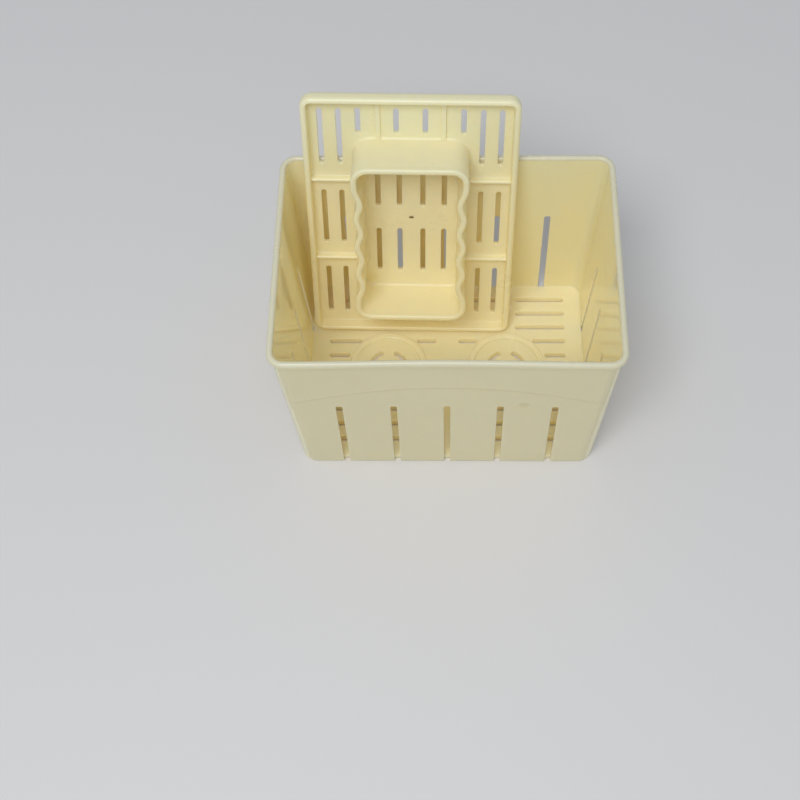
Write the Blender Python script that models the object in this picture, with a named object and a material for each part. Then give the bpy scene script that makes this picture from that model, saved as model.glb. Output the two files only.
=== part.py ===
"""Cheese press mould: an open, tapered drainage box and a loose follower plate with a loop grip.

Units are metres, +Z is up. The origin is the centre of the box's flat underside, on the surface it stands on.
X runs along the long side of the box, +Y runs towards the wall that the follower leans on.
Each of the two pieces is a one-piece moulding, so each is one closed solid.
"""

import math

import bmesh
import bpy
from mathutils import Matrix, Vector

MM = 0.001

# ---------------------------------------------------------------- driving dimensions, mm
# Box: half sizes are measured from the centre line.
BOX_HEIGHT = 88.9
RIM_HALF_X, RIM_HALF_Y = 65.0, 47.2          # outside of the rolled rim
RIM_CORNER_R = 6.6
RIM_HEIGHT = 2.7                             # depth of the rolled rim
RIM_WIDTH = 2.5                              # width of the rim seen from above
FOOT_HALF_X, FOOT_HALF_Y = 59.55, 42.6       # outside of the wall at the foot
WALL_TOP_HALF_X, WALL_TOP_HALF_Y = 63.9, 46.1  # outside of the wall under the rim
INNER_FLOOR_HALF_X, INNER_FLOOR_HALF_Y = 57.9, 41.1
FOOT_CORNER_R, WALL_TOP_CORNER_R = 6.6, 5.9
FOOT_ROUND = 0.9                             # rounding of the outer bottom edge
FLOOR_TOP = 2.5                              # the underside is flat and the box stands on it
CORNER_STEPS = 6

# Slots in the walls: they run up from the foot and are open at the bottom.
LONG_WALL_SLOT_X = (-41.0, -20.3, 0.0, 20.3, 41.0)
SHORT_WALL_SLOT_Y = (-19.7, 0.0, 19.7)
WALL_SLOT_WIDTH = 2.9
LONG_WALL_SLOT_TOP = 52.5
SHORT_WALL_SLOT_TOP = 50.0
WALL_SLOT_CORNER_R = 1.1
WALL_SLOT_INTO_FLOOR = 0.6                   # the slot also nips the edge of the floor

# Slots in the floor: rows along X, mirrored in both centre lines.
FLOOR_ROW_FIRST, FLOOR_ROW_PITCH = 5.9, 6.95
FLOOR_SLOT_WIDTH = 2.3
OUTER_BLOCK_X = (29.2, 50.5)
MIDDLE_BLOCK_X = (4.8, 25.0)
NEAR_RING_OUTER_X = (36.6, 50.5)             # row beside the ring, outside it
NEAR_RING_MIDDLE_X = (4.8, 12.9)             # row beside the ring, between the two rings
FIRST_ROW_OUTER_X = (41.6, 50.5)

# Raised rings on the floor, each with four arc slots inside it.
RING_CENTRE_X = 25.0
RING_R_OUT, RING_R_IN = 16.4, 13.9
RING_RISE = 0.5
RING_STEPS = 48
ARC_R, ARC_WIDTH = 7.4, 2.3
ARC_FROM_DEG, ARC_TO_DEG = 26.0, 64.0
ARC_STEPS = 5

# Follower plate: u across, v up the plate, n towards the grip. Its origin is the middle of its lower back edge.
PLATE_HALF_U, PLATE_LENGTH = 41.3, 121.4
PLATE_RIM_HEIGHT = 6.6
PLATE_RIM_WIDTH = 2.4
PLATE_BACK_ROUND = 2.0                       # rounding of the outer edge on the back
PLATE_WEB = 1.8
PLATE_CORNER_R = 4.6
PLATE_SLOT_WIDTH = 2.3
GRIP_COLUMNS = (4.65, 13.1)                  # slots inside the grip
GRIP_SLOT_SPAN = (5.9, 28.9)
SIDE_COLUMNS = (27.4, 34.5)                  # slots beside the grip
SIDE_MIDDLE_HALF = 13.8
SIDE_OUTER_SPAN = (27.1, 53.2)
END_COLUMNS = (5.55, 20.1)                   # short slots above and below the grip
END_SLOT_SPAN = (42.7, 53.2)
GATE_NUB = (1.8, 0.9, 0.7)                   # moulding gate mark, width, height, rise
GRIP_HALF_U, GRIP_HALF_V = 22.3, 39.35        # outside of the loop grip
GRIP_CORNER_R = 6.6
GRIP_TOP = 21.1
GRIP_WALL = 2.1
GRIP_LIP = 0.35                              # the bead at the edge of the grip stands out this far
GRIP_WAVE_IN, GRIP_WAVE = 1.3, 0.75          # the long sides step in by this much, and wave by this much each way
GRIP_WAVE_PITCH = 14.2                       # four finger bumps on each side
GRIP_WAVE_FROM, GRIP_WAVE_TO = 25.0, 30.5    # the waves fade out between these distances from the middle
RIB_WIDTH = 1.5
RIB_TOP = 5.0
SIDE_RIB_V = 20.4                            # ribs from the grip to the long rims
END_RIB_U = 12.7                             # ribs from the grip to the short rims

# Rest place of the follower: standing on its short edge, leaning on the rim.
LEAN_DEG = 13.95
TILT_DEG = -0.73                             # in the plate's own plane
TURN_DEG = -0.35
PLATE_AT = (-15.3, 23.1, 2.85)

CREAM = (0.80, 0.74, 0.50, 1.0)


# ---------------------------------------------------------------- helpers
def clear_scene():
    for ob in list(bpy.data.objects):
        bpy.data.objects.remove(ob, do_unlink=True)


def moulded_plastic(name, colour, roughness):
    mat = bpy.data.materials.new(name)
    mat.use_nodes = True
    shader = mat.node_tree.nodes["Principled BSDF"]
    shader.inputs["Base Color"].default_value = colour
    shader.inputs["Roughness"].default_value = roughness
    shader.inputs["Metallic"].default_value = 0.0
    return mat


def rounded_rectangle(half_x, half_y, radius, z, steps=CORNER_STEPS):
    """Anticlockwise loop of points at height z."""
    points = []
    for cx, cy, start in ((1, 1, 0), (-1, 1, 90), (-1, -1, 180), (1, -1, 270)):
        for k in range(steps + 1):
            a = math.radians(start + 90 * k / steps)
            points.append(
                (
                    cx * (half_x - radius) + radius * math.cos(a),
                    cy * (half_y - radius) + radius * math.sin(a),
                    z,
                )
            )
    return points


def loft(loops, ring=False):
    """Closed bmesh through loops of equal length. The first and last loops are capped, or joined when ring is set."""
    bm = bmesh.new()
    rows = [[bm.verts.new(Vector(p) * MM) for p in loop] for loop in loops]
    pairs = list(zip(rows[:-1], rows[1:]))
    if ring:
        pairs.append((rows[-1], rows[0]))
    for low, high in pairs:
        n = len(low)
        for i in range(n):
            j = (i + 1) % n
            bm.faces.new((low[i], low[j], high[j], high[i]))
    if not ring:
        bm.faces.new(list(reversed(rows[0])))
        bm.faces.new(rows[-1])
    bmesh.ops.recalc_face_normals(bm, faces=bm.faces)
    return bm


def object_from(name, bm, material=None, matrix=None):
    mesh = bpy.data.meshes.new(name)
    bm.to_mesh(mesh)
    bm.free()
    ob = bpy.data.objects.new(name, mesh)
    bpy.context.scene.collection.objects.link(ob)
    if material is not None:
        mesh.materials.append(material)
    if matrix is not None:
        ob.matrix_world = matrix
    return ob


def prism(points, low, high):
    """A straight prism over a plane outline, as loops for loft."""
    return [[(x, y, low) for x, y in points], [(x, y, high) for x, y in points]]


def stadium(x0, x1, y, width, end_steps=4):
    """Outline of a slot with round ends, from x0 to x1."""
    r = width / 2
    points = []
    for k in range(end_steps + 1):
        a = math.radians(-90 + 180 * k / end_steps)
        points.append((x1 - r + r * math.cos(a), y + r * math.sin(a)))
    for k in range(end_steps + 1):
        a = math.radians(90 + 180 * k / end_steps)
        points.append((x0 + r + r * math.cos(a), y + r * math.sin(a)))
    return points


def arc_slot(cx, cy, radius, width, start, end, end_steps=3):
    """Outline of a slot bent along an arc, with round ends."""
    r = width / 2
    points = []
    for k in range(ARC_STEPS + 1):
        a = math.radians(start + (end - start) * k / ARC_STEPS)
        points.append((cx + (radius + r) * math.cos(a), cy + (radius + r) * math.sin(a)))
    for k in range(1, end_steps):
        a = math.radians(end + 180 * k / end_steps)
        e = math.radians(end)
        points.append((cx + radius * math.cos(e) + r * math.cos(a), cy + radius * math.sin(e) + r * math.sin(a)))
    for k in range(ARC_STEPS, -1, -1):
        a = math.radians(start + (end - start) * k / ARC_STEPS)
        points.append((cx + (radius - r) * math.cos(a), cy + (radius - r) * math.sin(a)))
    for k in range(1, end_steps):
        a = math.radians(start + 180 + 180 * k / end_steps)
        s = math.radians(start)
        points.append((cx + radius * math.cos(s) + r * math.cos(a), cy + radius * math.sin(s) + r * math.sin(a)))
    return points


def gather(prisms):
    """One bmesh that holds several separate closed solids."""
    total = bmesh.new()
    mesh = bpy.data.meshes.new("gather")
    for bm in prisms:
        bm.to_mesh(mesh)
        bm.free()
        total.from_mesh(mesh)
    bpy.data.meshes.remove(mesh)
    return total


def boolean(target, tool, operation):
    """Applies an exact Boolean and removes the tool."""
    modifier = target.modifiers.new(operation.lower(), "BOOLEAN")
    modifier.operation = operation
    modifier.solver = "EXACT"
    modifier.object = tool
    bpy.context.view_layer.update()
    depsgraph = bpy.context.evaluated_depsgraph_get()
    result = bpy.data.meshes.new_from_object(target.evaluated_get(depsgraph))
    old = target.data
    target.modifiers.clear()
    result.name = old.name
    target.data = result
    bpy.data.meshes.remove(old)
    bpy.data.objects.remove(tool, do_unlink=True)


def shade(ob, angle=35.0):
    ob.data.shade_smooth()
    ob.data.set_sharp_from_angle(angle=math.radians(angle))


# ---------------------------------------------------------------- box
def wall_half(z, foot, top):
    return foot + (top - foot) * z / BOX_HEIGHT


def outer_loop(z, inset=0.0):
    f = z / BOX_HEIGHT
    return rounded_rectangle(
        wall_half(z, FOOT_HALF_X, WALL_TOP_HALF_X) - inset,
        wall_half(z, FOOT_HALF_Y, WALL_TOP_HALF_Y) - inset,
        FOOT_CORNER_R + (WALL_TOP_CORNER_R - FOOT_CORNER_R) * f - inset,
        z,
    )


def inner_half(z):
    """Half sizes of the inside face at height z."""
    f = (z - FLOOR_TOP) / (BOX_HEIGHT - FLOOR_TOP)
    return (
        INNER_FLOOR_HALF_X + (RIM_HALF_X - RIM_WIDTH - INNER_FLOOR_HALF_X) * f,
        INNER_FLOOR_HALF_Y + (RIM_HALF_Y - RIM_WIDTH - INNER_FLOOR_HALF_Y) * f,
    )


def inner_loop(z, inset=0.0):
    half_x, half_y = inner_half(z)
    return rounded_rectangle(half_x - inset, half_y - inset, 4.7 - inset, z)


def rim_loops():
    """The rolled rim, from its underside over the top to the inside."""
    half_w = RIM_WIDTH / 2
    loops = []
    under = BOX_HEIGHT - RIM_HEIGHT
    loops.append(rounded_rectangle(RIM_HALF_X - 0.45, RIM_HALF_Y - 0.45, RIM_CORNER_R - 0.45, under))
    loops.append(rounded_rectangle(RIM_HALF_X, RIM_HALF_Y, RIM_CORNER_R, under + 0.45))
    for k in range(5):
        a = math.radians(180 * k / 4)
        inset = half_w * (1 - math.cos(a))
        loops.append(
            rounded_rectangle(
                RIM_HALF_X - inset,
                RIM_HALF_Y - inset,
                RIM_CORNER_R - inset,
                BOX_HEIGHT - half_w * (1 - math.sin(a)),
            )
        )
    return loops


def make_box(material):
    loops = [
        outer_loop(0.0, FOOT_ROUND),
        outer_loop(FOOT_ROUND * 0.29, FOOT_ROUND * 0.29),
        outer_loop(FOOT_ROUND),
        outer_loop(BOX_HEIGHT - RIM_HEIGHT),
        *rim_loops(),
        inner_loop(BOX_HEIGHT - RIM_WIDTH),
        inner_loop(FLOOR_TOP + 0.9),
        inner_loop(FLOOR_TOP, 0.7),
    ]
    box = object_from("mould_box", loft(loops), material)

    # the raised rings, sunk a little into the floor
    rings = []
    for side in (-1, 1):
        section = (
            (RING_R_IN, FLOOR_TOP - 0.5),
            (RING_R_OUT, FLOOR_TOP - 0.5),
            (RING_R_OUT, FLOOR_TOP + RING_RISE * 0.4),
            (RING_R_OUT - 0.5, FLOOR_TOP + RING_RISE),
            (RING_R_IN + 0.5, FLOOR_TOP + RING_RISE),
            (RING_R_IN, FLOOR_TOP + RING_RISE * 0.4),
        )
        circles = []
        for r, z in section:
            circles.append(
                [
                    (
                        side * RING_CENTRE_X + r * math.cos(2 * math.pi * k / RING_STEPS),
                        r * math.sin(2 * math.pi * k / RING_STEPS),
                        z,
                    )
                    for k in range(RING_STEPS)
                ]
            )
        rings.append(loft(circles, ring=True))
    boolean(box, object_from("ring_tool", gather(rings)), "UNION")

    # floor slots
    low, high = -1.5, FLOOR_TOP + 3.0
    cuts = []
    for k in range(5):
        y = FLOOR_ROW_FIRST + FLOOR_ROW_PITCH * k
        if k == 0:
            spans = [FIRST_ROW_OUTER_X]
        elif k == 1:
            spans = [NEAR_RING_OUTER_X, NEAR_RING_MIDDLE_X]
        else:
            spans = [OUTER_BLOCK_X, MIDDLE_BLOCK_X]
        for x0, x1 in spans:
            for sx in (1, -1):
                for sy in (1, -1):
                    a, b = sorted((sx * x0, sx * x1))
                    cuts.append(loft(prism(stadium(a, b, sy * y, FLOOR_SLOT_WIDTH), low, high)))
    for side in (-1, 1):
        for quarter in range(4):
            outline = arc_slot(
                side * RING_CENTRE_X, 0.0, ARC_R, ARC_WIDTH,
                90 * quarter + ARC_FROM_DEG, 90 * quarter + ARC_TO_DEG,
            )
            cuts.append(loft(prism(outline, low, high)))
    boolean(box, object_from("floor_cutter", gather(cuts)), "DIFFERENCE")

    # wall slots, as prisms across the wall
    cuts = []

    def slot_outline(centre, top):
        r, h = WALL_SLOT_CORNER_R, WALL_SLOT_WIDTH / 2
        outline = [(centre - h, -2.0), (centre + h, -2.0)]
        for k in range(4):
            a = math.radians(90 * k / 3)
            outline.append((centre + h - r + r * math.cos(a), top - r + r * math.sin(a)))
        for k in range(4):
            a = math.radians(90 + 90 * k / 3)
            outline.append((centre - h + r + r * math.cos(a), top - r + r * math.sin(a)))
        return outline

    inner_x, inner_y = INNER_FLOOR_HALF_X - 0.7 - WALL_SLOT_INTO_FLOOR, INNER_FLOOR_HALF_Y - 0.7 - WALL_SLOT_INTO_FLOOR
    for sy in (1, -1):
        for x in LONG_WALL_SLOT_X:
            outline = slot_outline(x, LONG_WALL_SLOT_TOP)
            cuts.append(loft([[(px, sy * d, pz) for px, pz in outline] for d in (inner_y, WALL_TOP_HALF_Y + 4.0)]))
    for sx in (1, -1):
        for y in SHORT_WALL_SLOT_Y:
            outline = slot_outline(y, SHORT_WALL_SLOT_TOP)
            cuts.append(loft([[(sx * d, py, pz) for py, pz in outline] for d in (inner_x, WALL_TOP_HALF_X + 4.0)]))
    boolean(box, object_from("wall_cutter", gather(cuts)), "DIFFERENCE")
    shade(box)
    return box


# ---------------------------------------------------------------- follower
def plate_loop(inset, n, radius=None):
    """Outline of the plate inset from its edge, in plate coordinates with v centred on the plate."""
    return rounded_rectangle(
        PLATE_HALF_U - inset, PLATE_LENGTH / 2 - inset, (radius or PLATE_CORNER_R) - inset, n, steps=5
    )


def grip_outline(inset):
    """Waved outline of the loop grip, anticlockwise, inset from the outside."""
    half_u, half_v = GRIP_HALF_U - inset, GRIP_HALF_V - inset
    r = GRIP_CORNER_R - inset
    wave_steps = 36
    points = []

    def wave(v):
        t = (abs(v) - GRIP_WAVE_FROM) / (GRIP_WAVE_TO - GRIP_WAVE_FROM)
        t = min(1.0, max(0.0, t))
        fade = 1.0 - t * t * (3.0 - 2.0 * t)
        return fade * (GRIP_WAVE_IN - GRIP_WAVE * math.cos(2.0 * math.pi * v / GRIP_WAVE_PITCH))

    def corner(cx, cy, start):
        for k in range(6):
            a = math.radians(start + 90 * k / 5)
            points.append((cx * (half_u - r) + r * math.cos(a), cy * (half_v - r) + r * math.sin(a)))

    v_end = half_v - r
    corner(1, 1, 0)
    corner(-1, 1, 90)
    for k in range(1, wave_steps):
        v = v_end - 2 * v_end * k / wave_steps
        points.append((-half_u + wave(v), v))
    corner(-1, -1, 180)
    corner(1, -1, 270)
    for k in range(1, wave_steps):
        v = -v_end + 2 * v_end * k / wave_steps
        points.append((half_u - wave(v), v))
    return points


def make_plate(material):
    web = PLATE_WEB
    rim = PLATE_RIM_HEIGHT
    loops = [
        plate_loop(PLATE_BACK_ROUND, 0.0),
        plate_loop(PLATE_BACK_ROUND * 0.5, PLATE_BACK_ROUND * 0.134),
        plate_loop(PLATE_BACK_ROUND * 0.134, PLATE_BACK_ROUND * 0.5),
        plate_loop(0.0, PLATE_BACK_ROUND),
        plate_loop(0.0, rim - 0.6),
        plate_loop(0.6, rim),
        plate_loop(PLATE_RIM_WIDTH - 0.5, rim),
        plate_loop(PLATE_RIM_WIDTH, rim - 0.5),
        plate_loop(PLATE_RIM_WIDTH + 0.2, web),
    ]
    plate = object_from("press_plate", loft(loops), material)

    # stiffening ribs; their ends run into the rim and stop inside the grip's wall
    ribs = []
    sunk = web - 0.6
    inner_u, inner_v = PLATE_HALF_U - 1.2, PLATE_LENGTH / 2 - 1.2
    half = RIB_WIDTH / 2
    for s in (1, -1):
        for v in (SIDE_RIB_V, -SIDE_RIB_V):
            outline = [
                (s * (GRIP_HALF_U - 1.0), v - half), (s * inner_u, v - half),
                (s * inner_u, v + half), (s * (GRIP_HALF_U - 1.0), v + half),
            ]
            ribs.append(loft(prism(outline, sunk, RIB_TOP)))
        for u in (END_RIB_U, -END_RIB_U):
            outline = [
                (u - half, s * (GRIP_HALF_V - 1.0)), (u + half, s * (GRIP_HALF_V - 1.0)),
                (u + half, s * inner_v), (u - half, s * inner_v),
            ]
            ribs.append(loft(prism(outline, sunk, RIB_TOP)))
    for bm in ribs:
        bmesh.ops.recalc_face_normals(bm, faces=bm.faces)
    boolean(plate, object_from("rib_tool", gather(ribs)), "UNION")

    # the loop grip: a thin waved wall with a bead along its edge
    def ring_of(inset, n):
        return [(u, v, n) for u, v in grip_outline(inset)]

    top = GRIP_TOP
    section = (
        (0.0, sunk),
        (0.0, top - 2.0),
        (-GRIP_LIP, top - 1.5),
        (-GRIP_LIP, top - 0.7),
        (0.25, top),
        (GRIP_WALL - 0.25, top),
        (GRIP_WALL + GRIP_LIP, top - 0.7),
        (GRIP_WALL + GRIP_LIP, top - 1.5),
        (GRIP_WALL, top - 2.0),
        (GRIP_WALL, sunk),
    )
    grip = object_from("grip_tool", loft([ring_of(i, n) for i, n in section], ring=True))
    boolean(plate, grip, "UNION")

    # gate mark
    gw, gh, gr = GATE_NUB
    nub = loft(prism([(-gw / 2, -gh / 2), (gw / 2, -gh / 2), (gw / 2, gh / 2), (-gw / 2, gh / 2)], sunk, web + gr))
    boolean(plate, object_from("gate_tool", nub), "UNION")

    # slots through the web
    cuts = []

    def slot(u, v0, v1):
        outline = [(x, y) for y, x in stadium(v0, v1, u, PLATE_SLOT_WIDTH)]
        bm = loft(prism(list(reversed(outline)), -2.0, web + 1.5))
        cuts.append(bm)

    for s in (1, -1):
        for u in GRIP_COLUMNS:
            for a, b in (GRIP_SLOT_SPAN, (-GRIP_SLOT_SPAN[1], -GRIP_SLOT_SPAN[0])):
                slot(s * u, a, b)
        for u in SIDE_COLUMNS:
            slot(s * u, -SIDE_MIDDLE_HALF, SIDE_MIDDLE_HALF)
            for a, b in (SIDE_OUTER_SPAN, (-SIDE_OUTER_SPAN[1], -SIDE_OUTER_SPAN[0])):
                slot(s * u, a, b)
        for u in END_COLUMNS:
            for a, b in (END_SLOT_SPAN, (-END_SLOT_SPAN[1], -END_SLOT_SPAN[0])):
                slot(s * u, a, b)
    boolean(plate, object_from("plate_cutter", gather(cuts)), "DIFFERENCE")
    shade(plate)
    return plate


def plate_placement():
    """An empty at the lower back edge of the follower, with X = u, Y = v and Z = n."""
    lean, tilt, turn = (math.radians(a) for a in (LEAN_DEG, TILT_DEG, TURN_DEG))
    upright = Matrix.Rotation(math.radians(90), 4, "X")            # v to +Z, n to -Y
    placed = (
        Matrix.Translation(Vector(PLATE_AT) * MM)
        @ Matrix.Rotation(turn, 4, "Z")
        @ Matrix.Rotation(-lean, 4, "X")
        @ upright
        @ Matrix.Rotation(tilt, 4, "Z")
    )
    return placed


def main():
    clear_scene()
    make_box(moulded_plastic("box_plastic", CREAM, 0.42))
    plate = make_plate(moulded_plastic("follower_plastic", CREAM, 0.42))
    holder = bpy.data.objects.new("follower_lift", None)
    holder.empty_display_size = 0.02
    bpy.context.scene.collection.objects.link(holder)
    holder.matrix_world = plate_placement()
    plate.parent = holder
    plate.location = (0.0, PLATE_LENGTH / 2 * MM, 0.0)


main()
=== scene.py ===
"""Cheese press mould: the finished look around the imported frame.

Two mouldings, each one closed surface: the drainage box and the follower with its loop grip.
Lengths in the tables below are millimetres; the meshes are written in metres.
"""

import math

import bmesh
import bpy
import numpy as np
from mathutils import Matrix, Vector


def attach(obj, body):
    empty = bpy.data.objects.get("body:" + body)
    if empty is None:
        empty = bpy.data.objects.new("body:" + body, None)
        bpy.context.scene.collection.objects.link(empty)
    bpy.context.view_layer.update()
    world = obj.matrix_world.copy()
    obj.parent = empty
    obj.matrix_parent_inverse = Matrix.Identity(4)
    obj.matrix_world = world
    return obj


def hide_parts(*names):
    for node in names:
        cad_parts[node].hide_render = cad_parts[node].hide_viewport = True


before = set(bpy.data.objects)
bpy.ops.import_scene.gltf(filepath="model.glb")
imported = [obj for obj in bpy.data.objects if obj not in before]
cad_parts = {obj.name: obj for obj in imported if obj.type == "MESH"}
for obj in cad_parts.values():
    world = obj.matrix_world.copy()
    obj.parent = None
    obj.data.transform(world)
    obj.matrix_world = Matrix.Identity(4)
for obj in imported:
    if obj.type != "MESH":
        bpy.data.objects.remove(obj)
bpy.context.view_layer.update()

MM = 0.001

# ---------------------------------------------------------------- box, mm
BOX_HEIGHT = 88.9
RIM_HALF_X, RIM_HALF_Y = 65.0, 47.2
RIM_CORNER_R = 6.6
RIM_HEIGHT = 2.7
RIM_WIDTH = 2.5
FOOT_HALF_X, FOOT_HALF_Y = 59.55, 42.6
WALL_TOP_HALF_X, WALL_TOP_HALF_Y = 63.9, 46.1
INNER_FLOOR_HALF_X, INNER_FLOOR_HALF_Y = 57.9, 41.4
FOOT_CORNER_R, WALL_TOP_CORNER_R = 6.6, 5.9
FOOT_ROUND = 1.2
FLOOR_TOP = 2.5
FLOOR_FILLET = 0.6
INNER_CORNER_R = 4.7

LONG_WALL_SLOT_X = (-41.0, -20.3, 0.0, 20.3, 41.0)
SHORT_WALL_SLOT_Y = (-19.7, 0.0, 19.7)
WALL_SLOT_WIDTH = 2.5
LONG_WALL_SLOT_TOP = 52.5
SHORT_WALL_SLOT_TOP = 50.0
WALL_SLOT_CORNER_R = 1.0
WALL_EDGE_IN, WALL_EDGE_OUT = 0.14, 0.22

FLOOR_ROW_FIRST, FLOOR_ROW_PITCH = 5.9, 6.95
FLOOR_PATTERN_Y = 0.45
FLOOR_SLOT_WIDTH = 2.15
FLOOR_SLOT_DRAFT = 0.58                        # each side of a floor slot comes in by this much towards the underside
OUTER_BLOCK_X = (29.2, 50.5)
MIDDLE_BLOCK_X = (4.8, 25.0)
NEAR_RING_OUTER_X = (36.6, 50.5)
NEAR_RING_MIDDLE_X = (4.8, 12.9)
FIRST_ROW_OUTER_X = (41.6, 50.5)
SLOT_EDGE_R = 0.2

RING_CENTRE_X = 25.0
RING_R_OUT, RING_R_IN = 16.4, 13.9
RING_RISE = 0.9
ARC_R, ARC_WIDTH = 7.4, 2.2
ARC_FROM_DEG, ARC_TO_DEG = 26.0, 64.0

FRONT_BOW = 0.8                              # the long walls are pulled in by this much at mid length, at the rim
BACK_BOW = 0.12

# ---------------------------------------------------------------- follower, mm
PLATE_HALF_U, PLATE_LENGTH = 41.3, 121.4
PLATE_RIM_HEIGHT = 6.6
PLATE_RIM_WIDTH = 2.4
PLATE_BACK_ROUND = 3.0
PLATE_LIP_ROUND = 1.5                        # outer edge of the rim's front face
PLATE_WEB = 1.8
PLATE_CORNER_R = 4.6
PLATE_INNER_CORNER = 3.9                       # corner radius of the rim's inner side, measured at the outside
PLATE_SLOT_WIDTH = 2.0
GRIP_COLUMNS = (4.65, 13.1)
GRIP_SLOT_SPAN = (5.9, 28.9)
SIDE_COLUMNS = (27.4, 34.5)
SIDE_MIDDLE_HALF = 13.8
SIDE_OUTER_SPAN = (27.1, 53.2)
END_COLUMNS = (5.55, 20.1)
END_SLOT_SPAN = (41.9, 53.5)
GRIP_HALF_U, GRIP_HALF_V = 22.3, 39.35
GRIP_CORNER_R = 6.6
GRIP_TOP = 21.1
GRIP_WALL = 2.1
GRIP_LIP = 0.15
GRIP_WAVE_IN, GRIP_WAVE = 1.3, 0.75
GRIP_WAVE_PITCH = 14.2
GRIP_WAVE_FROM, GRIP_WAVE_TO = 25.0, 30.5
RIB_WIDTH = 1.5
SIDE_RIB_TOP = 4.3
END_RIB_TOP = 2.75
END_RIB_WIDTH = 1.9
SIDE_RIB_V = 20.4
GATE_HALF_U, GATE_HALF_V, GATE_DEPTH = 1.0, 0.62, 1.2
END_RIB_U = 12.5

LEAN_DEG, TILT_DEG, TURN_DEG = 13.95, -0.73, -0.35
PLATE_AT = (-15.3, 23.1, 2.85)

FRONT_MARK = (29.0, -44.7, 54.0)              # ejector pin marks, box and plate coordinates
WEB_MARK = (-16.6, -33.2, 1.8)

# how an edge of radius 1 is rounded where a cutter passes a face: (depth below the face, widening)
EDGE_ROUND = ((-1.3, 0.95), (-0.06, 0.95), (0.094, 0.577), (0.357, 0.234), (0.741, 0.034), (1.0, 0.0))


# ---------------------------------------------------------------- mesh helpers
def rounded_rectangle(half_x, half_y, radius, z, steps=12, along_x=26, along_y=18):
    """Anticlockwise loop at height z. The straight sides are divided, so that they can be bent."""
    radius = max(radius, 0.05)
    corners = ((1, 1, 0), (-1, 1, 90), (-1, -1, 180), (1, -1, 270))

    def at(i, degrees):
        cx, cy, _ = corners[i % 4]
        a = math.radians(degrees)
        return (
            cx * (half_x - radius) + radius * math.cos(a),
            cy * (half_y - radius) + radius * math.sin(a),
        )

    points = []
    for i in range(4):
        start = corners[i][2]
        for k in range(steps + 1):
            points.append(at(i, start + 90 * k / steps))
        a, b = points[-1], at(i + 1, corners[(i + 1) % 4][2])
        n = along_x if i % 2 == 0 else along_y
        for k in range(1, n):
            t = k / n
            points.append((a[0] + (b[0] - a[0]) * t, a[1] + (b[1] - a[1]) * t))
    return [(x, y, z) for x, y in points]


def loft(loops, ring=False):
    """Closed bmesh through loops of equal length, capped at both ends, or joined up when ring is set."""
    bm = bmesh.new()
    rows = [[bm.verts.new(Vector(p) * MM) for p in loop] for loop in loops]
    pairs = list(zip(rows[:-1], rows[1:]))
    if ring:
        pairs.append((rows[-1], rows[0]))
    for low, high in pairs:
        n = len(low)
        for i in range(n):
            j = (i + 1) % n
            bm.faces.new((low[i], low[j], high[j], high[i]))
    if not ring:
        bm.faces.new(list(reversed(rows[0])))
        bm.faces.new(rows[-1])
    bmesh.ops.recalc_face_normals(bm, faces=bm.faces)
    return bm


def object_from(name, bm):
    mesh = bpy.data.meshes.new(name)
    bm.to_mesh(mesh)
    bm.free()
    ob = bpy.data.objects.new(name, mesh)
    bpy.context.scene.collection.objects.link(ob)
    return ob


def gather(parts):
    total = bmesh.new()
    mesh = bpy.data.meshes.new("gather")
    for bm in parts:
        bm.to_mesh(mesh)
        bm.free()
        total.from_mesh(mesh)
    bpy.data.meshes.remove(mesh)
    return total


def boolean(target, tool, operation):
    modifier = target.modifiers.new(operation.lower(), "BOOLEAN")
    modifier.operation = operation
    modifier.solver = "EXACT"
    modifier.object = tool
    bpy.context.view_layer.update()
    depsgraph = bpy.context.evaluated_depsgraph_get()
    result = bpy.data.meshes.new_from_object(target.evaluated_get(depsgraph))
    old = target.data
    target.modifiers.clear()
    result.name = old.name
    target.data = result
    bpy.data.meshes.remove(old)
    bpy.data.objects.remove(tool, do_unlink=True)


def stadium(x0, x1, y, width, widen=0.0, end_steps=9):
    """Outline of a slot with round ends along X, widened all round."""
    r = width / 2
    points = []
    for cx, start in ((x1 - r, -90), (x0 + r, 90)):
        for k in range(end_steps + 1):
            a = math.radians(start + 180 * k / end_steps)
            points.append((cx + (r + widen) * math.cos(a), y + (r + widen) * math.sin(a)))
    return points


def arc_slot(cx, cy, radius, width, start, end, widen=0.0, steps=10, end_steps=9):
    """Outline of a slot bent along an arc, with round ends, widened all round."""
    r = width / 2 + widen
    points = []
    for k in range(steps + 1):
        a = math.radians(start + (end - start) * k / steps)
        points.append((cx + (radius + r) * math.cos(a), cy + (radius + r) * math.sin(a)))
    e, s = math.radians(end), math.radians(start)
    for k in range(1, end_steps):
        a = math.radians(end + 180 * k / end_steps)
        points.append((cx + radius * math.cos(e) + r * math.cos(a), cy + radius * math.sin(e) + r * math.sin(a)))
    for k in range(steps, -1, -1):
        a = math.radians(start + (end - start) * k / steps)
        points.append((cx + (radius - r) * math.cos(a), cy + (radius - r) * math.sin(a)))
    for k in range(1, end_steps):
        a = math.radians(start + 180 + 180 * k / end_steps)
        points.append((cx + radius * math.cos(s) + r * math.cos(a), cy + radius * math.sin(s) + r * math.sin(a)))
    return points


def stations(edge, low, high, draft=0.0):
    """(level, widening) pairs of a cutter that goes from below low to above high and rounds both edges."""
    pairs = []
    for depth, widen in EDGE_ROUND:
        pairs.append((low + (depth if depth < 0 else depth * edge), widen * edge - draft))
    for depth, widen in reversed(EDGE_ROUND):
        pairs.append((high - (depth if depth < 0 else depth * edge), widen * edge))
    return pairs


def through_cut(outline, low, high, edge, draft=0.0):
    """Cutter along Z. outline(widening) gives plane points."""
    return loft([[(x, y, z) for x, y in outline(widen)] for z, widen in stations(edge, low, high, draft)])


# ---------------------------------------------------------------- box
def wall_half(z, foot, top):
    return foot + (top - foot) * z / BOX_HEIGHT


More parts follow.
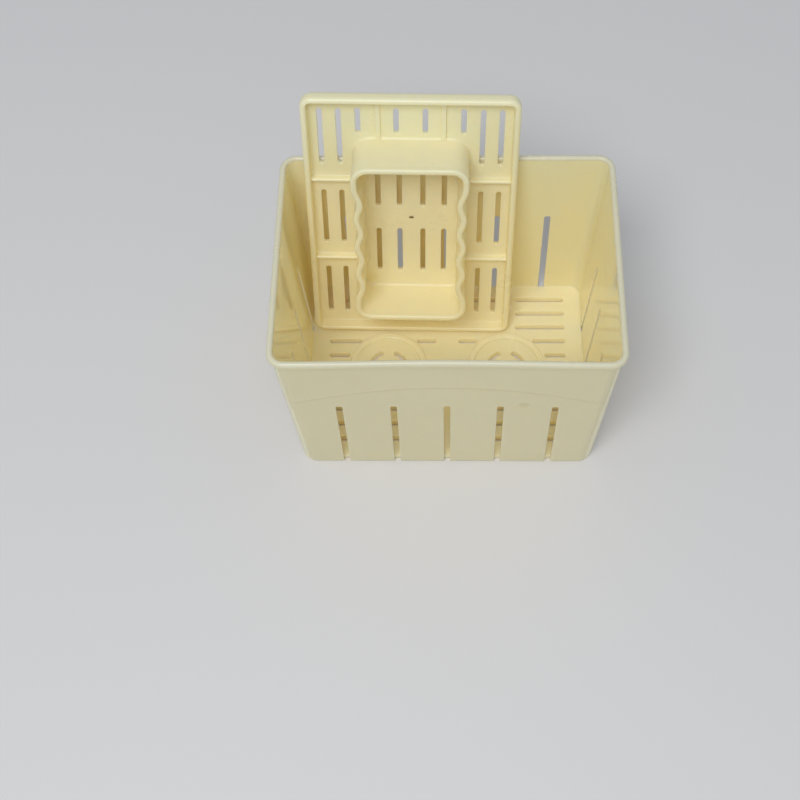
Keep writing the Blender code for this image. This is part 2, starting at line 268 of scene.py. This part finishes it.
def outer_loop(z, inset=0.0):
    f = z / BOX_HEIGHT
    return rounded_rectangle(
        wall_half(z, FOOT_HALF_X, WALL_TOP_HALF_X) - inset,
        wall_half(z, FOOT_HALF_Y, WALL_TOP_HALF_Y) - inset,
        FOOT_CORNER_R + (WALL_TOP_CORNER_R - FOOT_CORNER_R) * f - inset,
        z,
    )


def inner_half(z):
    f = (z - FLOOR_TOP) / (BOX_HEIGHT - FLOOR_TOP)
    return (
        INNER_FLOOR_HALF_X + (RIM_HALF_X - RIM_WIDTH - INNER_FLOOR_HALF_X) * f,
        INNER_FLOOR_HALF_Y + (RIM_HALF_Y - RIM_WIDTH - INNER_FLOOR_HALF_Y) * f,
    )


def inner_loop(z, inset=0.0):
    half_x, half_y = inner_half(z)
    f = (z - FLOOR_TOP) / (BOX_HEIGHT - FLOOR_TOP)
    radius = INNER_CORNER_R + (RIM_CORNER_R - RIM_WIDTH - INNER_CORNER_R) * f
    return rounded_rectangle(half_x - inset, half_y - inset, radius - inset, z)


def rim_loop(inset, z, radius=None):
    return rounded_rectangle(
        RIM_HALF_X - inset, RIM_HALF_Y - inset, RIM_CORNER_R - inset if radius is None else radius, z
    )


def box_loops():
    loops = []
    steps = 6
    for k in range(steps + 1):
        a = math.radians(90 * k / steps)
        loops.append(outer_loop(FOOT_ROUND * (1 - math.cos(a)), FOOT_ROUND * (1 - math.sin(a))))
    under = BOX_HEIGHT - RIM_HEIGHT
    tuck = 0.5                                    # hollow fillet under the rim
    levels = 16
    for k in range(1, levels):
        loops.append(outer_loop(FOOT_ROUND + (under - tuck - FOOT_ROUND) * k / levels))
    overhang = RIM_HALF_X - wall_half(under, FOOT_HALF_X, WALL_TOP_HALF_X)
    wall_r = FOOT_CORNER_R + (WALL_TOP_CORNER_R - FOOT_CORNER_R) * under / BOX_HEIGHT
    for k in range(6):
        a = math.radians(90 * k / 5)
        inset = overhang - tuck * (1 - math.cos(a))
        blend = k / 5
        loops.append(rim_loop(inset, under - tuck * (1 - math.sin(a)), wall_r * (1 - blend) + (RIM_CORNER_R - inset) * blend))
    low = 0.5                                     # rounding of the rim's lower edge
    for k in range(6):
        a = math.radians(90 * k / 5)
        loops.append(rim_loop(low * (1 - math.sin(a)), under + low * (1 - math.cos(a))))
    half_w = RIM_WIDTH / 2
    for k in range(15):
        a = math.radians(180 * k / 14)
        loops.append(rim_loop(half_w * (1 - math.cos(a)), BOX_HEIGHT - half_w * (1 - math.sin(a))))
    top, bottom = BOX_HEIGHT - half_w, FLOOR_TOP + FLOOR_FILLET
    for k in range(1, levels + 1):
        loops.append(inner_loop(top + (bottom - top) * k / levels))
    for k in range(1, 7):
        a = math.radians(90 * k / 6)
        loops.append(inner_loop(FLOOR_TOP + FLOOR_FILLET * (1 - math.sin(a)), FLOOR_FILLET * (1 - math.cos(a))))
    return loops


def floor_rings():
    """Raised rings with rounded tops and hollow fillets at their feet, sunk into the floor."""
    rise, foot, top = RING_RISE, 0.3, 0.45
    half = []
    half.append((foot + 0.15, -0.5))
    half.append((foot + 0.15, -0.04))
    for k in range(1, 5):
        a = math.radians(90 * k / 5)
        half.append((foot * (1 - math.sin(a)), foot * (1 - math.cos(a)) * 0.8))
    for k in range(0, 6):
        a = math.radians(90 * k / 5)
        half.append((-top * (1 - math.cos(a)), rise - top * 0.85 * (1 - math.sin(a))))
    section = [(RING_R_OUT + o, FLOOR_TOP + h) for o, h in half]
    section += [(RING_R_IN - o, FLOOR_TOP + h) for o, h in reversed(half)]
    rings = []
    n = 128
    for side in (-1, 1):
        loops = []
        for r, z in section:
            loops.append(
                [
                    (side * RING_CENTRE_X + r * math.cos(2 * math.pi * k / n), FLOOR_PATTERN_Y + r * math.sin(2 * math.pi * k / n), z)
                    for k in range(n)
                ]
            )
        rings.append(loft(loops, ring=True))
    return rings


def floor_cuts():
    cuts = []
    for k in range(5):
        y = FLOOR_ROW_FIRST + FLOOR_ROW_PITCH * k
        if k == 0:
            spans = [FIRST_ROW_OUTER_X]
        elif k == 1:
            spans = [NEAR_RING_OUTER_X, NEAR_RING_MIDDLE_X]
        else:
            spans = [OUTER_BLOCK_X, MIDDLE_BLOCK_X]
        for x0, x1 in spans:
            for sx in (1, -1):
                for sy in (1, -1):
                    a, b = sorted((sx * x0, sx * x1))
                    cuts.append(
                        through_cut(
                            lambda w, a=a, b=b, y=sy * y + FLOOR_PATTERN_Y: stadium(a, b, y, FLOOR_SLOT_WIDTH, w),
                            0.0, FLOOR_TOP, SLOT_EDGE_R, FLOOR_SLOT_DRAFT,
                        )
                    )
    for side in (-1, 1):
        for quarter in range(4):
            cuts.append(
                through_cut(
                    lambda w, side=side, q=quarter: arc_slot(
                        side * RING_CENTRE_X, FLOOR_PATTERN_Y, ARC_R, ARC_WIDTH, 90 * q + ARC_FROM_DEG, 90 * q + ARC_TO_DEG, w
                    ),
                    0.0, FLOOR_TOP, SLOT_EDGE_R, FLOOR_SLOT_DRAFT,
                )
            )
    return cuts


def wall_slot_outline(centre, top, widen):
    r, h = WALL_SLOT_CORNER_R + widen, WALL_SLOT_WIDTH / 2 + widen
    peak = top + widen
    outline = [(centre - h, -2.5), (centre + h, -2.5)]
    for k in range(7):
        a = math.radians(90 * k / 6)
        outline.append((centre + h - r + r * math.cos(a), peak - r + r * math.sin(a)))
    for k in range(7):
        a = math.radians(90 + 90 * k / 6)
        outline.append((centre - h + r + r * math.cos(a), peak - r + r * math.sin(a)))
    return outline


def wall_cuts():
    """Slots through the walls. Each end of a cutter follows the draft of the face that it leaves through."""
    cuts = []

    def cutter(centre, top, long_wall, sign):
        def outer(z):
            return wall_half(z, FOOT_HALF_Y, WALL_TOP_HALF_Y) if long_wall else wall_half(z, FOOT_HALF_X, WALL_TOP_HALF_X)

        def inner(z):
            return inner_half(z)[1 if long_wall else 0]

        rows = []
        for depth, widen in EDGE_ROUND:
            rows.append((inner, depth if depth < 0 else depth * WALL_EDGE_IN, widen * WALL_EDGE_IN))
        for depth, widen in reversed(EDGE_ROUND):
            rows.append((outer, -(depth if depth < 0 else depth * WALL_EDGE_OUT), widen * WALL_EDGE_OUT))
        loops = []
        for face, shift, widen in rows:
            loop = []
            for p, z in wall_slot_outline(centre, top, widen):
                # the cutter's end stays close to the wall, so it only nips the fillet at the floor's edge
                d = sign * (face(z) + max(shift, -0.3))
                loop.append((p, d, z) if long_wall else (d, p, z))
            loops.append(loop)
        cuts.append(loft(loops))

    for sign in (1, -1):
        for x in LONG_WALL_SLOT_X:
            cutter(x, LONG_WALL_SLOT_TOP, True, sign)
        for y in SHORT_WALL_SLOT_Y:
            cutter(y, SHORT_WALL_SLOT_TOP, False, sign)
    return cuts


def bend_walls(mesh):
    """The thin long walls are drawn in a little between their stiff corners, most at the rim."""
    for v in mesh.vertices:
        x, y, z = v.co.x / MM, v.co.y / MM, v.co.z / MM
        reach = max(0.0, 1.0 - (x / 58.0) ** 2)
        rise = max(0.0, (z - 3.0) / (BOX_HEIGHT - 3.0))
        side = min(1.0, max(0.0, (abs(y) - 34.0) / 8.0))
        side = side * side * (3 - 2 * side)
        bow = FRONT_BOW if y < 0 else BACK_BOW
        v.co.y -= math.copysign(bow * reach * reach * rise ** 1.3 * side * MM, y)


def weld(ob):
    """Joins the points that the cuts left on top of each other."""
    bm = bmesh.new()
    bm.from_mesh(ob.data)
    bmesh.ops.remove_doubles(bm, verts=bm.verts, dist=0.0005 * MM)
    bm.to_mesh(ob.data)
    bm.free()


def make_box():
    box = object_from("drainage_box", loft(box_loops()))
    boolean(box, object_from("ring_tool", gather(floor_rings())), "UNION")
    boolean(box, object_from("floor_cutter", gather(floor_cuts())), "DIFFERENCE")
    boolean(box, object_from("wall_cutter", gather(wall_cuts())), "DIFFERENCE")
    weld(box)
    bend_walls(box.data)
    return box


# ---------------------------------------------------------------- follower
def plate_loop(inset, n, radius=None):
    return rounded_rectangle(
        PLATE_HALF_U - inset, PLATE_LENGTH / 2 - inset, (radius or PLATE_CORNER_R) - inset, n,
        steps=10, along_x=16, along_y=24,
    )


def grip_outline(inset):
    """Waved outline of the loop grip, anticlockwise, inset from the outside."""
    half_u, half_v = GRIP_HALF_U - inset, GRIP_HALF_V - inset
    r = GRIP_CORNER_R - inset
    wave_steps = 120
    points = []

    def wave(v):
        t = (abs(v) - GRIP_WAVE_FROM) / (GRIP_WAVE_TO - GRIP_WAVE_FROM)
        t = min(1.0, max(0.0, t))
        fade = 1.0 - t * t * (3.0 - 2.0 * t)
        return fade * (GRIP_WAVE_IN - GRIP_WAVE * math.cos(2.0 * math.pi * v / GRIP_WAVE_PITCH))

    def corner(cx, cy, start):
        for k in range(13):
            a = math.radians(start + 90 * k / 12)
            points.append((cx * (half_u - r) + r * math.cos(a), cy * (half_v - r) + r * math.sin(a)))

    def straight(n):
        a = points[-1]
        b = (-a[0], a[1])
        for k in range(1, n):
            points.append((a[0] + (b[0] - a[0]) * k / n, a[1]))

    v_end = half_v - r
    corner(1, 1, 0)
    straight(8)
    corner(-1, 1, 90)
    for k in range(1, wave_steps):
        v = v_end - 2 * v_end * k / wave_steps
        points.append((-half_u + wave(v), v))
    corner(-1, -1, 180)
    straight(8)
    corner(1, -1, 270)
    for k in range(1, wave_steps):
        v = -v_end + 2 * v_end * k / wave_steps
        points.append((half_u - wave(v), v))
    return points


def plate_body_loops():
    loops = []
    back = PLATE_BACK_ROUND
    for k in range(8):
        a = math.radians(90 * k / 7)
        loops.append(plate_loop(back * (1 - math.sin(a)), back * (1 - math.cos(a))))
    rim = PLATE_RIM_HEIGHT
    outer_r, inner_r, foot_r = PLATE_LIP_ROUND, 0.8, 0.6
    for k in range(1, 4):
        loops.append(plate_loop(0.0, back + (rim - outer_r - back) * k / 4))
    for k in range(7):
        a = math.radians(90 * k / 6)
        loops.append(plate_loop(outer_r * (1 - math.cos(a)), rim - outer_r * (1 - math.sin(a))))
    for k in range(7):
        a = math.radians(90 * k / 6)
        loops.append(
            plate_loop(
                PLATE_RIM_WIDTH - inner_r * (1 - math.sin(a)), rim - inner_r * (1 - math.cos(a)),
                PLATE_CORNER_R + (PLATE_INNER_CORNER - PLATE_CORNER_R) * (0.3 + 0.7 * k / 6),
            )
        )
    wall_in = PLATE_RIM_WIDTH + 0.1
    loops.append(plate_loop(wall_in - 0.04, (rim + PLATE_WEB) / 2, PLATE_INNER_CORNER))
    for k in range(6):
        a = math.radians(90 * k / 5)
        loops.append(plate_loop(wall_in + foot_r * (1 - math.cos(a)), PLATE_WEB + foot_r * (1 - math.sin(a)), PLATE_INNER_CORNER))
    return loops


def rib(u0, u1, v0, v1, height, foot, top):
    """A bar from sunk in the web up to height, with rounded top edges and hollow fillets at its feet."""
    half = [(foot + 0.2, PLATE_WEB - 0.6), (foot + 0.2, PLATE_WEB - 0.05)]
    for k in range(1, 5):
        a = math.radians(90 * k / 5)
        half.append((foot * (1 - math.sin(a)), PLATE_WEB + foot * (1 - math.cos(a))))
    half.append((0.0, PLATE_WEB + foot))
    for k in range(0, 5):
        a = math.radians(90 * k / 4)
        half.append((-top * (1 - math.cos(a)), height - top * (1 - math.sin(a))))
    loops = []
    lengthwise = abs(v1 - v0) > abs(u1 - u0)
    for out, n in half:
        if lengthwise:
            a, b = u0 - out, u1 + out
            loops.append([(a, v0, n), (b, v0, n), (b, v1, n), (a, v1, n)])
        else:
            a, b = v0 - out, v1 + out
            loops.append([(u0, a, n), (u1, a, n), (u1, b, n), (u0, b, n)])
    return loft(loops)


def make_plate():
    plate = object_from("follower_plate", loft(plate_body_loops()))

    ribs = []
    inner_u, inner_v = PLATE_HALF_U - 1.2, PLATE_LENGTH / 2 - 1.2
    half = RIB_WIDTH / 2
    for s in (1, -1):
        for v in (SIDE_RIB_V, -SIDE_RIB_V):
            a, b = sorted((s * (GRIP_HALF_U - 1.0), s * inner_u))
            ribs.append(rib(a, b, v - half, v + half, SIDE_RIB_TOP, 0.5, 0.65))
        for u in (END_RIB_U, -END_RIB_U):
            a, b = sorted((s * (GRIP_HALF_V - 1.0), s * inner_v))
            ribs.append(rib(u - END_RIB_WIDTH / 2, u + END_RIB_WIDTH / 2, a, b, END_RIB_TOP, 0.12, 0.3))
    boolean(plate, object_from("rib_tool", gather(ribs)), "UNION")

    # the loop grip: a waved wall with a bead along its edge and hollow fillets at its foot
    top = GRIP_TOP
    foot = 1.3
    section = [(-foot - 0.2, PLATE_WEB - 0.6), (-foot - 0.2, PLATE_WEB - 0.05)]
    for k in range(1, 5):
        a = math.radians(90 * k / 5)
        section.append((-foot * (1 - math.sin(a)), PLATE_WEB + foot * (1 - math.cos(a))))
    section.append((0.0, PLATE_WEB + foot))
    section.append((0.0, (top + PLATE_WEB) / 2))
    section.append((0.0, top - 2.6))
    bead = 0.95
    width = GRIP_WALL + 2 * GRIP_LIP
    for k in range(1, 6):
        t = k / 6
        section.append((-GRIP_LIP * t * t * (3 - 2 * t), top - 2.6 + (1.7) * t))
    for k in range(0, 13):
        a = math.radians(180 * k / 12)
        c = math.cos(a)
        section.append((-GRIP_LIP + width / 2 * (1 - math.copysign(abs(c) ** 0.8, c)), top - 0.9 + 0.9 * math.sin(a) ** 0.8))
    mirrored = [(GRIP_WALL - i, n) for i, n in reversed(section[: -13])]
    section += mirrored
    grip = object_from("grip_tool", loft([[(u, v, n) for u, v in grip_outline(i)] for i, n in section], ring=True))
    boolean(plate, grip, "UNION")

    # the pit that is left where the gate was cut off, its faces painted dark as shade
    pit = []
    for scale, n in ((0.75, PLATE_WEB - GATE_DEPTH), (1.0, PLATE_WEB - GATE_DEPTH + 0.3), (1.0, PLATE_WEB - 0.1), (1.25, PLATE_WEB + 0.05), (1.25, PLATE_WEB + 1.0)):
        pit.append(
            [
                (GATE_HALF_U * scale * math.cos(2 * math.pi * k / 20), GATE_HALF_V * scale * math.sin(2 * math.pi * k / 20), n)
                for k in range(20)
            ]
        )
    boolean(plate, object_from("gate_tool", loft(pit)), "DIFFERENCE")

    cuts = []

    def slot(u, v0, v1):
        def outline(w):
            return [(x, y) for y, x in reversed(stadium(v0, v1, u, PLATE_SLOT_WIDTH, w))]

        cuts.append(through_cut(outline, 0.0, PLATE_WEB, 0.2))

    for s in (1, -1):
        for u in GRIP_COLUMNS:
            for a, b in (GRIP_SLOT_SPAN, (-GRIP_SLOT_SPAN[1], -GRIP_SLOT_SPAN[0])):
                slot(s * u, a, b)
        for u in SIDE_COLUMNS:
            slot(s * u, -SIDE_MIDDLE_HALF, SIDE_MIDDLE_HALF)
            for a, b in (SIDE_OUTER_SPAN, (-SIDE_OUTER_SPAN[1], -SIDE_OUTER_SPAN[0])):
                slot(s * u, a, b)
        for u in END_COLUMNS:
            for a, b in (END_SLOT_SPAN, (-END_SLOT_SPAN[1], -END_SLOT_SPAN[0])):
                slot(s * u, a, b)
    boolean(plate, object_from("plate_cutter", gather(cuts)), "DIFFERENCE")
    return plate


def plate_placement():
    lean, tilt, turn = (math.radians(a) for a in (LEAN_DEG, TILT_DEG, TURN_DEG))
    return (
        Matrix.Translation(Vector(PLATE_AT) * MM)
        @ Matrix.Rotation(turn, 4, "Z")
        @ Matrix.Rotation(-lean, 4, "X")
        @ Matrix.Rotation(math.radians(90), 4, "X")
        @ Matrix.Rotation(tilt, 4, "Z")
        @ Matrix.Translation((0.0, PLATE_LENGTH / 2 * MM, 0.0))
    )


def finish_surface(ob, angle=55.0):
    """Smooth shading that leaves the broad faces flat and lets the roundings turn."""
    mesh = ob.data
    mesh.shade_smooth()
    mesh.set_sharp_from_angle(angle=math.radians(angle))
    weighted = ob.modifiers.new("weighted", "WEIGHTED_NORMAL")
    weighted.mode = "FACE_AREA"
    weighted.weight = 50
    weighted.keep_sharp = True


# ---------------------------------------------------------------- materials
def node(tree, kind, **values):
    n = tree.nodes.new(kind)
    for key, value in values.items():
        if key.startswith("_"):
            setattr(n, key[1:], value)
        else:
            n.inputs[key.replace("_", " ")].default_value = value
    return n


def mix_colour(tree, factor, a, b, blend="MIX"):
    n = tree.nodes.new("ShaderNodeMix")
    n.data_type = "RGBA"
    n.blend_type = blend
    for value, index in ((factor, 0), (a, 6), (b, 7)):
        if isinstance(value, bpy.types.NodeSocket):
            tree.links.new(value, n.inputs[index])
        else:
            n.inputs[index].default_value = value
    return n.outputs[2]


def map_range(tree, value, from_min, from_max, to_min, to_max):
    n = tree.nodes.new("ShaderNodeMapRange")
    tree.links.new(value, n.inputs["Value"])
    for key, number in (("From Min", from_min), ("From Max", from_max), ("To Min", to_min), ("To Max", to_max)):
        n.inputs[key].default_value = number
    return n.outputs["Result"]


def moulded_plastic(name, colour, deep, rough_low, rough_high, grain, wave, scuffs, marks=(), arch=False):
    """Cream polypropylene: cloudy tone, uneven gloss, fine mould grain, slow sink waves and faint rub marks.

    marks are the round witness marks of ejector pins, (centre in mm, radius in mm). arch adds the faint
    flow line that the melt leaves across the front wall.
    """
    mat = bpy.data.materials.new(name)
    mat.use_nodes = True
    tree = mat.node_tree
    shader = tree.nodes["Principled BSDF"]
    shader.inputs["IOR"].default_value = 1.49
    shader.inputs["Specular IOR Level"].default_value = 0.5
    shader.inputs["Subsurface Weight"].default_value = 0.6
    shader.inputs["Subsurface Radius"].default_value = (1.0, 0.85, 0.6)
    shader.inputs["Subsurface Scale"].default_value = 0.0035

    where = tree.nodes.new("ShaderNodeTexCoord").outputs["Object"]

    def noise(scale, detail, roughness=0.5, distortion=0.0, vector=where):
        n = node(tree, "ShaderNodeTexNoise", Scale=scale, Detail=detail, Roughness=roughness, Distortion=distortion)
        tree.links.new(vector, n.inputs["Vector"])
        return n.outputs["Fac"]

    cloud = noise(28.0, 3.0, 0.5, 0.4)
    fleck = noise(420.0, 2.0)
    tone = mix_colour(tree, map_range(tree, cloud, 0.32, 0.68, 0.0, 1.0), deep, colour)
    tone = mix_colour(tree, map_range(tree, fleck, 0.35, 0.65, 0.0, 0.10), tone, tuple(c * 0.9 for c in colour[:3]) + (1.0,))

    # long, narrow rub marks
    stretch = node(tree, "ShaderNodeMapping")
    stretch.inputs["Rotation"].default_value = (0.35, 0.6, 0.25)
    stretch.inputs["Scale"].default_value = (1.0, 14.0, 9.0)
    tree.links.new(where, stretch.inputs["Vector"])
    rub = noise(45.0, 3.0, 0.6, 0.3, stretch.outputs["Vector"])
    patch = noise(60.0, 4.0, 0.55)
    rough = map_range(tree, patch, 0.3, 0.7, rough_low, rough_high)
    scuff = map_range(tree, rub, 0.6, 0.75, 0.0, scuffs)
    total = tree.nodes.new("ShaderNodeMath")
    total.operation = "ADD"
    tree.links.new(rough, total.inputs[0])
    tree.links.new(scuff, total.inputs[1])
    tree.links.new(total.outputs[0], shader.inputs["Roughness"])

    fine = noise(1600.0, 2.0)
    slow = noise(55.0, 1.0)
    bump_slow = node(tree, "ShaderNodeBump", Strength=1.0, Distance=wave)
    tree.links.new(slow, bump_slow.inputs["Height"])
    bump_fine = node(tree, "ShaderNodeBump", Strength=1.0, Distance=grain)
    tree.links.new(fine, bump_fine.inputs["Height"])
    tree.links.new(bump_slow.outputs["Normal"], bump_fine.inputs["Normal"])
    last = bump_fine
    tint = tone

    def relief(height, distance):
        nonlocal last
        bump = node(tree, "ShaderNodeBump", Strength=1.0, Distance=distance)
        tree.links.new(height, bump.inputs["Height"])
        tree.links.new(last.outputs["Normal"], bump.inputs["Normal"])
        last = bump

    for centre, radius in marks:
        away = tree.nodes.new("ShaderNodeVectorMath")
        away.operation = "DISTANCE"
        tree.links.new(where, away.inputs[0])
        away.inputs[1].default_value = [c * MM for c in centre]
        edge = map_range(tree, away.outputs["Value"], (radius - 0.2) * MM, (radius + 0.2) * MM, 0.0, 1.0)
        relief(edge, 0.00012)
        tint = mix_colour(tree, map_range(tree, edge, 0.0, 1.0, 0.25, 0.0), tint, deep, "MULTIPLY")
    if arch:
        def maths(operation, *values):
            n = tree.nodes.new("ShaderNodeMath")
            n.operation = operation
            for value, socket in zip(values, n.inputs):
                if isinstance(value, bpy.types.NodeSocket):
                    tree.links.new(value, socket)
                else:
                    socket.default_value = value
            return n.outputs[0]

        split = tree.nodes.new("ShaderNodeSeparateXYZ")
        tree.links.new(where, split.inputs[0])
        x, y, z = split.outputs
        line = maths("MULTIPLY_ADD", maths("MULTIPLY", x, x), -0.011 / 0.055**2, 0.068)
        away = maths("ABSOLUTE", maths("SUBTRACT", z, line))
        ridge = map_range(tree, away, 0.0, 0.0007, 1.0, 0.0)
        ridge = maths("MULTIPLY", ridge, maths("LESS_THAN", y, -0.04))
        relief(ridge, 0.00009)
        tint = mix_colour(tree, maths("MULTIPLY", ridge, 0.28), tint, deep, "MULTIPLY")
    tree.links.new(last.outputs["Normal"], shader.inputs["Normal"])
    tree.links.new(tint, shader.inputs["Base Color"])
    return mat


def plain_material(name, colour, roughness):
    mat = bpy.data.materials.new(name)
    mat.use_nodes = True
    tree = mat.node_tree
    shader = tree.nodes["Principled BSDF"]
    shader.inputs["Roughness"].default_value = roughness
    where = tree.nodes.new("ShaderNodeTexCoord").outputs["Object"]
    n = node(tree, "ShaderNodeTexNoise", Scale=3.0, Detail=2.0)
    tree.links.new(where, n.inputs["Vector"])
    tone = mix_colour(tree, n.outputs["Fac"], tuple(c * 0.985 for c in colour[:3]) + (1.0,), colour)
    tree.links.new(tone, shader.inputs["Base Color"])
    return mat


CREAM = (0.97, 0.871, 0.56, 1.0)
CREAM_DEEP = (0.962, 0.859, 0.53, 1.0)
SHADED_OUTSIDE = (0.77, 0.705, 0.455, 1.0)              # painted shade: the outside walls get a darker copy of the cream, standing in for the light that the plastic lets through to the inside
SHADED_OUTSIDE_DEEP = (0.755, 0.69, 0.44, 1.0)
# painted shade: a duller, darker copy of the cream for the rolled rim
RIM_SHADED = (0.75, 0.70, 0.50, 1.0)
RIM_SHADED_DEEP = (0.73, 0.68, 0.48, 1.0)
FOLLOWER = (0.94, 0.85, 0.54, 1.0)
FOLLOWER_DEEP = (0.93, 0.838, 0.525, 1.0)
# painted shade: a dark brown for the faces inside the gate pit
GATE_PIT_SHADE = (0.42, 0.30, 0.10, 1.0)
# painted shade: the outside material is a darker copy of the same cream plastic
outside = moulded_plastic(
    "box_outside_shaded", SHADED_OUTSIDE, SHADED_OUTSIDE_DEEP, 0.36, 0.48, 0.000010, 0.00004, 0.06, marks=((FRONT_MARK, 1.95),), arch=True
)
inside = moulded_plastic("box_inside", CREAM, CREAM_DEEP, 0.045, 0.085, 0.0000003, 0.00009, 0.02)
# painted shade on the rim faces
edge = moulded_plastic("box_rim_shaded", RIM_SHADED, RIM_SHADED_DEEP, 0.25, 0.32, 0.000004, 0.00004, 0.02)
gate_pit_shade = moulded_plastic("gate_pit_painted_shade", GATE_PIT_SHADE, (0.30, 0.20, 0.06, 1.0), 0.4, 0.6, 0.00001, 0.00004, 0.05)
follower = moulded_plastic(
    "follower_satin", FOLLOWER, FOLLOWER_DEEP, 0.27, 0.32, 0.000004, 0.00003, 0.015, marks=((plate_placement() @ (Vector(WEB_MARK) * MM) / MM, 2.2),)
)

# ---------------------------------------------------------------- pieces
box = make_box()
box.data.materials.clear()
box.data.materials.append(outside)
box.data.materials.append(inside)
box.data.materials.append(edge)
# painted shade: outside faces take the darker outside copy of the cream, and rim faces take the duller, darker rim
# copy
for face in box.data.polygons:
    c = face.center / MM
    half_x, half_y = inner_half(c.z)
    deep_inside = abs(c.x) < half_x + 0.3 and abs(c.y) < half_y + 0.3 and c.z > 0.25
    face.material_index = 2 if c.z > BOX_HEIGHT - RIM_WIDTH / 2 - 0.2 else 1 if deep_inside else 0
finish_surface(box)

plate = make_plate()
plate.data.materials.clear()
plate.data.materials.append(follower)
plate.data.materials.append(gate_pit_shade)
# painted shade: the faces inside the gate pit take the dark gate material
for face in plate.data.polygons:
    c = face.center / MM
    in_pit = abs(c.x) < GATE_HALF_U + 0.05 and abs(c.y) < GATE_HALF_V + 0.05 and PLATE_WEB - GATE_DEPTH - 0.02 < c.z < PLATE_WEB - 0.12
    face.material_index = 1 if in_pit else 0
plate.data.transform(plate_placement())
finish_surface(plate)


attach(box, "mould")
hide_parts("mould_box")
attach(plate, "follower")
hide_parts("press_plate")

# ---------------------------------------------------------------- stage
floor_mesh = bpy.data.meshes.new("floor")
floor_mesh.from_pydata([(-3, -3, 0), (3, -3, 0), (3, 3, 0), (-3, 3, 0)], [], [(0, 1, 2, 3)])
floor_mesh.materials.append(plain_material("pale_floor", (0.78, 0.745, 0.695, 1.0), 0.6))
floor = bpy.data.objects.new("floor", floor_mesh)
bpy.context.scene.collection.objects.link(floor)

scene = bpy.context.scene
scene.view_settings.view_transform = "Standard"
scene.view_settings.look = "None"
scene.cycles.max_bounces = 32                 # light goes round many times inside a pale box
scene.cycles.diffuse_bounces = 32

world = bpy.data.worlds.new("studio")
world.use_nodes = True
world.node_tree.nodes["Background"].inputs["Color"].default_value = (0.88, 0.95, 1.08, 1.0)
world.node_tree.nodes["Background"].inputs["Strength"].default_value = 0.41
scene.world = world


def area_light(name, place, target, size, power, colour=(1, 1, 1)):
    data = bpy.data.lights.new(name, "AREA")
    data.shape = "RECTANGLE"
    data.size, data.size_y = size
    data.energy = power
    data.color = colour
    ob = bpy.data.objects.new(name, data)
    ob.location = place
    ob.rotation_euler = (Vector(target) - Vector(place)).to_track_quat("-Z", "Y").to_euler()
    bpy.context.scene.collection.objects.link(ob)
    return ob


area_light("key", (-0.19, -0.575, 1.16), (0.0, 0.0, 0.04), (0.6, 0.5), 8.15, (0.95, 0.985, 1.05))

# ---------------------------------------------------------------- camera
yaw, pitch, roll = (math.radians(a) for a in (-2.08, 59.87, -1.74))
forward = Vector((math.sin(yaw) * math.cos(pitch), math.cos(yaw) * math.cos(pitch), -math.sin(pitch)))
right = Vector((math.cos(yaw), -math.sin(yaw), 0.0))
up = right.cross(forward)
right_r = math.cos(roll) * right + math.sin(roll) * up
up_r = -math.sin(roll) * right + math.cos(roll) * up
cam_data = bpy.data.cameras.new("camera")
cam_data.sensor_width = 36.0
cam_data.lens = 62.27
cam_data.shift_x, cam_data.shift_y = -0.03, -0.075    # the object stands off the middle of the picture
cam_data.clip_start, cam_data.clip_end = 0.01, 20.0
camera = bpy.data.objects.new("camera", cam_data)
bpy.context.scene.collection.objects.link(camera)
turn = Matrix((right_r, up_r, -forward)).transposed().to_4x4()
camera.matrix_world = Matrix.Translation(Vector((0.8, -285.1, 517.8)) * MM) @ turn
scene.camera = camera
